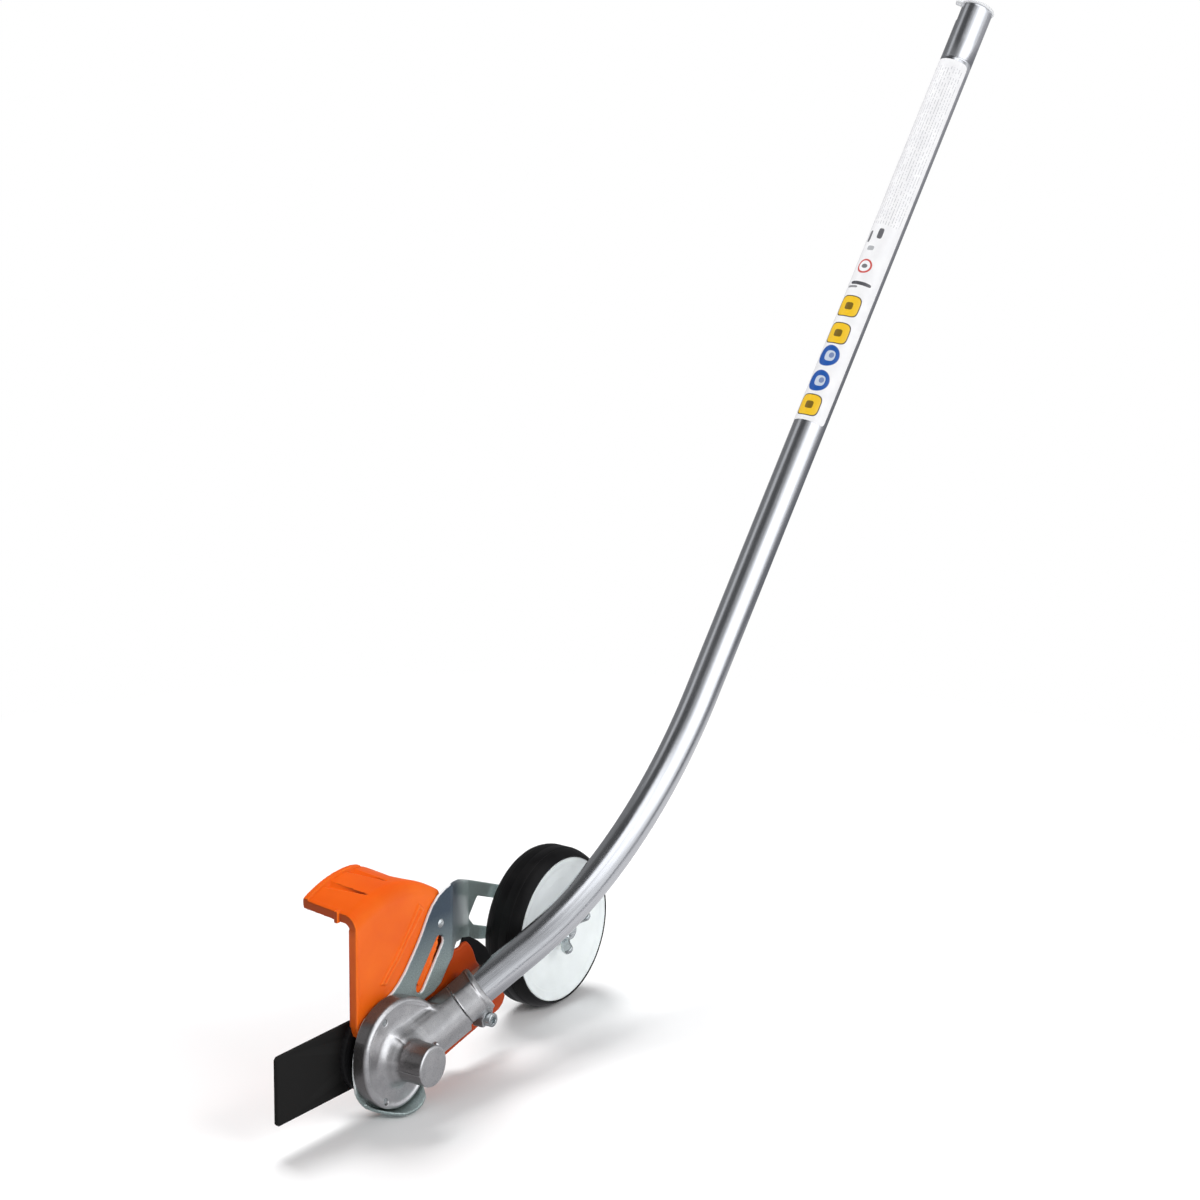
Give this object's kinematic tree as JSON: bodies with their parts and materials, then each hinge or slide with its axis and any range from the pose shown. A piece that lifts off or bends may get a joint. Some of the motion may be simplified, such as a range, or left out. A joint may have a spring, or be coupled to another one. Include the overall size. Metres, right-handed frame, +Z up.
{
  "type": "walk-behind edger attachment",
  "caption": "Curved-tube edger attachment with a bevel gearbox, straight blade, debris deflector, skid bracket and adjustable guide wheel.",
  "frame": {"origin": "on the tube's axis at its open upper end, where a power head clamps it", "axes": "+X towards the blade, +Y to the user's left, +Z up; the blade axis runs along Y"},
  "size_m": [0.8799, 0.1002, 0.6903],
  "materials": {
    "tube_aluminium": "polished drawn tube",
    "cast_aluminium": "bead-blasted casting",
    "zinc_plate": "bright zinc plate, bluish",
    "zinc_fastener": "bright zinc plate",
    "machined_steel": "turned steel",
    "bearing_steel": "ground",
    "black_steel": "black oxide",
    "blade_black": "gloss black",
    "orange_plastic": "satin moulded",
    "white_plastic": "moulded",
    "nylon_pale": "natural nylon",
    "black_rubber": "matt",
    "tyre_rubber": "matt",
    "label_film": "printed film"
  },
  "bodies": {
    "gearhead": {"drive_tube": "tube_aluminium", "shaft_liner": "nylon_pale", "flex_core": "machined_steel", "liner_rings": "black_rubber", "gear_housing": "cast_aluminium", "rear_cover": "cast_aluminium", "cover_screws": "zinc_fastener", "filler_plug": "zinc_fastener", "clamp_screw": "zinc_fastener", "front_bearing_outer": "bearing_steel", "front_bearing_balls": "bearing_steel", "rear_bearing_outer": "bearing_steel", "rear_bearing_balls": "bearing_steel", "pinion_bearing_a_outer": "bearing_steel", "pinion_bearing_a_balls": "bearing_steel", "pinion_bearing_b_outer": "bearing_steel", "pinion_bearing_b_balls": "bearing_steel", "shaft_seal": "black_rubber", "bearing_circlip": "machined_steel", "bracket_plate": "zinc_plate", "bracket_screws": "zinc_fastener", "deflector": "orange_plastic", "deflector_rivet": "zinc_fastener", "rubber_flap": "black_rubber", "flap_rivets": "zinc_fastener", "upper_bush": "nylon_pale", "label": "label_film"},
    "output": {"output_shaft": "machined_steel", "bevel_gear": "machined_steel", "gear_key": "machined_steel", "shaft_circlip": "machined_steel", "front_bearing_inner": "bearing_steel", "rear_bearing_inner": "bearing_steel", "thrust_plate": "black_steel", "blade": "blade_black", "clamp_washer": "black_steel", "blade_nut": "zinc_fastener", "nut_insert": "nylon_pale"},
    "pinion": {"pinion_shaft": "machined_steel", "pinion_spacer": "machined_steel", "pinion_circlip": "machined_steel", "pinion_bearing_a_inner": "bearing_steel", "pinion_bearing_b_inner": "bearing_steel", "core_tang": "machined_steel"},
    "adapter": {"drive_adapter": "machined_steel"},
    "wheel_carrier": {"axle_bolt": "zinc_fastener", "axle_sleeve": "machined_steel", "axle_washers": "zinc_fastener"},
    "wheel": {"wheel_rim": "white_plastic", "tyre": "tyre_rubber", "wheel_bush": "nylon_pale"},
    "nut": {"wing_nut": "zinc_fastener"},
    "cap": {"end_cap": "white_plastic"}
  },
  "joints": [
    {"name": "blade_spin", "type": "hinge", "parent": "gearhead", "child": "output", "pos_m": [0.76783, 0, -0.6339], "axis": [0, 1, 0], "continuous": true},
    {"name": "pinion_spin", "type": "hinge", "parent": "gearhead", "child": "pinion", "pos_m": [0.76783, 0, -0.6339], "axis": [-0.9816, 0, 0.1912], "continuous": true},
    {"name": "adapter_spin", "type": "hinge", "parent": "gearhead", "child": "adapter", "pos_m": [0, 0, 0], "axis": [-0.6357, 0, 0.772], "continuous": true},
    {"name": "wheel_height", "type": "slide", "parent": "gearhead", "child": "wheel_carrier", "axis": [0, 0, 1], "range_m": [-0.038, 0.009]},
    {"name": "wheel_spin", "type": "hinge", "parent": "wheel_carrier", "child": "wheel", "pos_m": [0.52783, -0.04, -0.6192], "axis": [0, 1, 0], "continuous": true},
    {"name": "wing_nut_turn", "type": "hinge", "parent": "wheel_carrier", "child": "nut", "pos_m": [0.52783, -0.02, -0.6192], "axis": [0, 1, 0], "range_deg": [-90, 720]},
    {"name": "cap_pull", "type": "slide", "parent": "gearhead", "child": "cap", "axis": [-0.6357, 0, 0.772], "range_m": [0, 0.12]}
  ],
  "couplings": [
    {"joint": "pinion_spin", "follows": "blade_spin", "ratio": -1.3333},
    {"joint": "adapter_spin", "follows": "blade_spin", "ratio": -1.3333}
  ]
}
